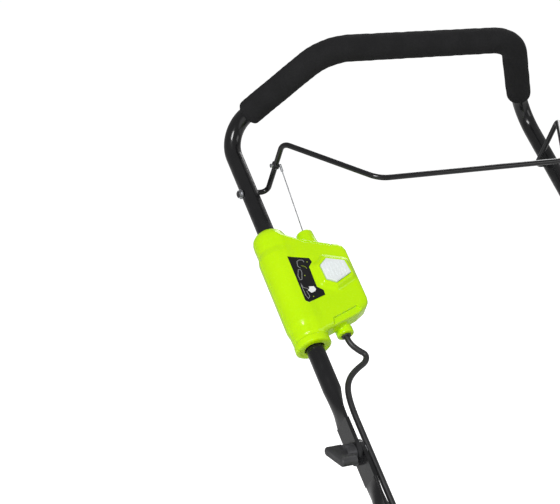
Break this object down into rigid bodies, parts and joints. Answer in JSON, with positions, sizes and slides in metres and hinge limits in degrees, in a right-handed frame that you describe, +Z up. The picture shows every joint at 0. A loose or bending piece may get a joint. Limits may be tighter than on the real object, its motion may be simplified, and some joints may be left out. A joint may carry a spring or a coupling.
{
  "type": "push lawn mower",
  "caption": "Cordless push lawn mower: folding tubular handle with foam grip, wire bail and lime switch box, deck with blade, height-adjusted wheels and rear grass bag.",
  "frame": {"origin": "on the ground, under the middle of the mower's bounding box", "axes": "+Z up, front of the mower towards -Y, +X towards the operator's left"},
  "size_m": [0.5358, 1.2978, 1.0034],
  "materials": {
    "deck_plastic": "moulded, satin black",
    "cover_plastic": "gloss lime green",
    "black_plastic": "moulded, fine texture",
    "steel": "zinc plated",
    "cast_alloy": "cast",
    "circuit_board": "solder mask",
    "tyre_rubber": "moulded rubber",
    "wheel_plastic": "moulded grey",
    "bag_cloth": "woven polyester",
    "black_paint": "gloss black powder coat",
    "foam": "closed-cell foam",
    "lime_plastic": "gloss lime green",
    "label_film": "printed film",
    "button_plastic": "satin white grey",
    "cable_sheath": "soft PVC"
  },
  "bodies": {
    "deck": {"deck_shell": "deck_plastic", "motor_cover": "cover_plastic", "battery_bay": "black_plastic", "motor_plate": "steel", "motor_screws": "steel", "motor_housing": "cast_alloy", "controller_board": "circuit_board", "handle_bracket_right": "steel", "handle_bracket_left": "steel", "height_sector": "black_plastic", "flap_rod": "steel", "cable_deck_span": "cable_sheath"},
    "blade": {"motor_shaft": "steel", "blade_adapter": "cast_alloy", "blade": "steel", "blade_bolt": "steel"},
    "front_axle": {"front_axle": "steel", "height_lever": "black_plastic"},
    "rear_axle": {"rear_axle": "steel"},
    "link": {"link_rod": "steel"},
    "battery": {"battery_pack": "black_plastic"},
    "battery_latch": {"battery_latch": "lime_plastic"},
    "safety_key": {"safety_key": "black_plastic"},
    "flap": {"rear_flap": "black_plastic"},
    "bag": {"bag_fabric": "bag_cloth", "bag_frame": "black_paint", "bag_lid": "black_plastic"},
    "lower_handle": {"lower_tube_right": "black_paint", "lower_tube_left": "black_paint", "fold_bolts": "steel", "cable_lower": "cable_sheath"},
    "upper_handle": {"upper_tube": "black_paint", "foam_grip": "foam", "box_front_shell": "lime_plastic", "box_rear_shell": "lime_plastic", "box_screws": "steel", "label_plate": "label_film", "cable_gland": "black_plastic", "micro_switch": "black_plastic", "cable_upper": "cable_sheath", "cable_fold_span": "cable_sheath"},
    "lock_button": {"hex_button": "button_plastic"},
    "bail": {"bail": "black_paint", "bail_caps": "steel", "wire_hook": "steel"},
    "slider": {"switch_slider": "black_plastic"},
    "wire": {"pull_wire": "steel"},
    "bracket_knob_right": {"bracket_knob_right": "black_plastic"},
    "fold_knob_right": {"fold_knob_right": "black_plastic"},
    "wheel_front_right": {"tyre_front_right": "tyre_rubber", "wheel_front_right": "wheel_plastic"},
    "wheel_rear_right": {"tyre_rear_right": "tyre_rubber", "wheel_rear_right": "wheel_plastic"},
    "bracket_knob_left": {"bracket_knob_left": "black_plastic"},
    "fold_knob_left": {"fold_knob_left": "black_plastic"},
    "wheel_front_left": {"tyre_front_left": "tyre_rubber", "wheel_front_left": "wheel_plastic"},
    "wheel_rear_left": {"tyre_rear_left": "tyre_rubber", "wheel_rear_left": "wheel_plastic"}
  },
  "joints": [
    {"name": "blade_spin", "type": "hinge", "parent": "deck", "child": "blade", "pos_m": [0, -0.314, 0.06], "axis": [0, 0, 1], "continuous": true},
    {"name": "height_lever", "type": "hinge", "parent": "deck", "child": "front_axle", "pos_m": [0, -0.599, 0.08665], "axis": [1, 0, 0], "range_deg": [-24, 24]},
    {"name": "rear_crank", "type": "hinge", "parent": "deck", "child": "rear_axle", "pos_m": [0, -0.078, 0.10165], "axis": [1, 0, 0], "range_deg": [-24, 24]},
    {"name": "link_swing", "type": "hinge", "parent": "front_axle", "child": "link", "pos_m": [0.1514, -0.599, 0.18165], "axis": [1, 0, 0], "range_deg": [-24, 24]},
    {"name": "front_wheel_right", "type": "hinge", "parent": "front_axle", "child": "wheel_front_right", "pos_m": [-0.183, -0.55553, 0.075], "axis": [1, 0, 0], "continuous": true},
    {"name": "rear_wheel_right", "type": "hinge", "parent": "rear_axle", "child": "wheel_rear_right", "pos_m": [-0.183, -0.03453, 0.09], "axis": [1, 0, 0], "continuous": true},
    {"name": "front_wheel_left", "type": "hinge", "parent": "front_axle", "child": "wheel_front_left", "pos_m": [0.183, -0.55553, 0.075], "axis": [1, 0, 0], "continuous": true},
    {"name": "rear_wheel_left", "type": "hinge", "parent": "rear_axle", "child": "wheel_rear_left", "pos_m": [0.183, -0.03453, 0.09], "axis": [1, 0, 0], "continuous": true},
    {"name": "battery_slide", "type": "slide", "parent": "deck", "child": "battery", "axis": [0, 0, 1], "range_m": [0, 0.1]},
    {"name": "battery_latch", "type": "slide", "parent": "battery", "child": "battery_latch", "axis": [0, 0, -1], "range_m": [0, 0.003]},
    {"name": "key_slide", "type": "slide", "parent": "deck", "child": "safety_key", "axis": [0, 0, 1], "range_m": [0, 0.025]},
    {"name": "rear_flap", "type": "hinge", "parent": "deck", "child": "flap", "pos_m": [0, 0.002, 0.259], "axis": [1, 0, 0], "range_deg": [0, 70]},
    {"name": "bag_slide", "type": "slide", "parent": "deck", "child": "bag", "axis": [0, 1, 0], "range_m": [0, 0.25]},
    {"name": "lower_handle_fold", "type": "hinge", "parent": "deck", "child": "lower_handle", "pos_m": [0, -0.079, 0.255], "axis": [1, 0, 0], "range_deg": [0, 115], "deforming": ["cable_deck_span"]},
    {"name": "upper_handle_fold", "type": "hinge", "parent": "lower_handle", "child": "upper_handle", "pos_m": [0, 0.28027, 0.55647], "axis": [-1, 0, 0], "range_deg": [-145, 0], "deforming": ["cable_fold_span"]},
    {"name": "bracket_knob_right", "type": "hinge", "parent": "lower_handle", "child": "bracket_knob_right", "pos_m": [-0.165, -0.079, 0.255], "axis": [1, 0, 0], "continuous": true},
    {"name": "fold_knob_right", "type": "hinge", "parent": "upper_handle", "child": "fold_knob_right", "pos_m": [-0.25, 0.28027, 0.55647], "axis": [1, 0, 0], "continuous": true},
    {"name": "bracket_knob_left", "type": "hinge", "parent": "lower_handle", "child": "bracket_knob_left", "pos_m": [0.165, -0.079, 0.255], "axis": [1, 0, 0], "continuous": true},
    {"name": "fold_knob_left", "type": "hinge", "parent": "upper_handle", "child": "fold_knob_left", "pos_m": [0.25, 0.28027, 0.55647], "axis": [1, 0, 0], "continuous": true},
    {"name": "lock_button", "type": "slide", "parent": "upper_handle", "child": "lock_button", "axis": [0, 0.6428, -0.766], "range_m": [0, 0.004]},
    {"name": "bail_squeeze", "type": "hinge", "parent": "upper_handle", "child": "bail", "pos_m": [0, 0.5752, 0.80394], "axis": [-1, 0, 0], "range_deg": [0, 60]},
    {"name": "switch_slide", "type": "slide", "parent": "upper_handle", "child": "slider", "axis": [0, 0.766, 0.6428], "range_m": [0, 0.0264]},
    {"name": "wire_swing", "type": "hinge", "parent": "slider", "child": "wire", "pos_m": [-0.1855, 0.51744, 0.75547], "axis": [1, 0, 0], "range_deg": [-18.5, 0]}
  ],
  "couplings": [
    {"joint": "rear_crank", "follows": "height_lever", "ratio": 1},
    {"joint": "link_swing", "follows": "height_lever", "ratio": -1},
    {"joint": "switch_slide", "follows": "bail_squeeze", "m_per_rad": 0.02521},
    {"joint": "wire_swing", "follows": "bail_squeeze", "ratio": -0.3055}
  ]
}
